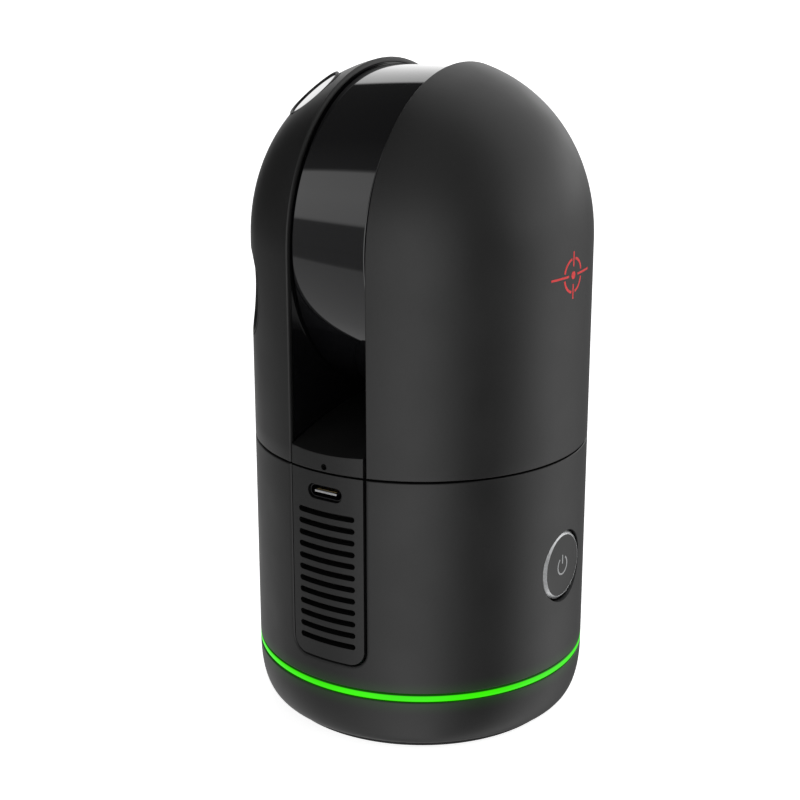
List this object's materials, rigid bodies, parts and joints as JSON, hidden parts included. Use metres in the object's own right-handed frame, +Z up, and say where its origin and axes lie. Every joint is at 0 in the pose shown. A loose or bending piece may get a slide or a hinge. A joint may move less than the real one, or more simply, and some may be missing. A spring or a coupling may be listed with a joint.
{
  "type": "terrestrial laser scanner",
  "caption": "Compact terrestrial laser scanner: round base with LED ring, vent panel and power button, and a domed turret with a slot that holds the scan window and spinning mirror.",
  "frame": {"origin": "centre of the resting face, on the underside of the rubber pad", "axes": "+Z up along the turret's axis; the slot and the vent panel face -Y, the power button faces +X and the cameras are on the -X pod"},
  "size_m": [0.08, 0.08, 0.1546],
  "materials": {
    "casing": "fine matte soft-touch coating, charcoal",
    "button": "satin, with a bright bevelled rim",
    "bezel": "matte",
    "gloss_black": "high gloss, almost black",
    "rubber": "matte",
    "led": "translucent light guide lit green",
    "brass": "turned",
    "circuit_board": "solder mask",
    "battery_case": "moulded",
    "black_plastic": "moulded",
    "steel": "ground",
    "aluminium": "machined",
    "copper": "enamelled copper winding on iron",
    "lens_glass": "coated dark glass",
    "mirror": "first-surface mirror"
  },
  "bodies": {
    "base": {"foot_shell": "casing", "foot_pad": "rubber", "led_ring": "led", "tripod_insert": "brass", "led_board": "circuit_board", "battery_bay": "black_plastic", "battery": "battery_case", "battery_contacts": "brass", "base_shell": "casing", "vent_panel": "casing", "dust_filter": "black_plastic", "usb_c_port": "steel", "button_board": "circuit_board", "heat_sink": "aluminium", "fan_frame": "black_plastic", "main_board": "circuit_board", "motor_housing": "aluminium", "azimuth_bearing_outer": "steel", "azimuth_motor_stator": "copper", "encoder_reader": "black_plastic", "slip_ring_housing": "black_plastic"},
    "battery_door": {"battery_door": "casing"},
    "power_button": {"power_button": "button"},
    "fan": {"fan_rotor": "black_plastic"},
    "turret": {"right_pod_shell": "casing", "left_pod_shell": "casing", "slot_floor": "casing", "camera_bezel_lower_front": "bezel", "camera_bezel_upper_front": "bezel", "camera_bezel_lower_rear": "bezel", "camera_bezel_upper_rear": "bezel", "scan_window": "gloss_black", "right_slot_liner": "gloss_black", "left_slot_liner": "gloss_black", "encoder_disc": "gloss_black", "slip_ring_rotor": "brass", "head_board": "circuit_board", "laser_rangefinder": "black_plastic", "camera_module_lower_front": "black_plastic", "camera_module_upper_front": "black_plastic", "camera_module_lower_rear": "black_plastic", "camera_module_upper_rear": "black_plastic", "azimuth_bearing_inner": "steel", "azimuth_bearing_balls": "steel", "azimuth_shaft": "steel", "hub_ring_nut": "steel", "azimuth_motor_magnet": "steel", "mirror_bearing_inner": "steel", "mirror_bearing_outer": "steel", "turntable": "aluminium", "mirror_motor_bracket": "aluminium", "mirror_motor_stator": "copper", "camera_glass_lower_front": "lens_glass", "camera_glass_upper_front": "lens_glass", "camera_glass_lower_rear": "lens_glass", "camera_glass_upper_rear": "lens_glass", "laser_lens": "lens_glass"},
    "mirror": {"mirror_spindle": "aluminium", "scan_mirror": "mirror", "mirror_motor_magnet": "steel"}
  },
  "joints": [
    {"name": "turret_azimuth", "type": "hinge", "parent": "base", "child": "turret", "pos_m": [0, 0, 0.0669], "axis": [0, 0, 1], "continuous": true},
    {"name": "mirror_spin", "type": "hinge", "parent": "turret", "child": "mirror", "pos_m": [0, 0, 0.1156], "axis": [1, 0, 0], "continuous": true},
    {"name": "power_button_press", "type": "slide", "parent": "base", "child": "power_button", "axis": [-1, 0, 0], "range_m": [0, 0.0006], "stiffness_N_per_m": 600, "springref_m": -0.0006},
    {"name": "fan_spin", "type": "hinge", "parent": "base", "child": "fan", "pos_m": [0, -0.0222, 0.041], "axis": [0, 1, 0], "continuous": true},
    {"name": "battery_door_hinge", "type": "hinge", "parent": "base", "child": "battery_door", "pos_m": [0, 0.0266, 0.0023], "axis": [1, 0, 0], "range_deg": [0, 90]}
  ]
}
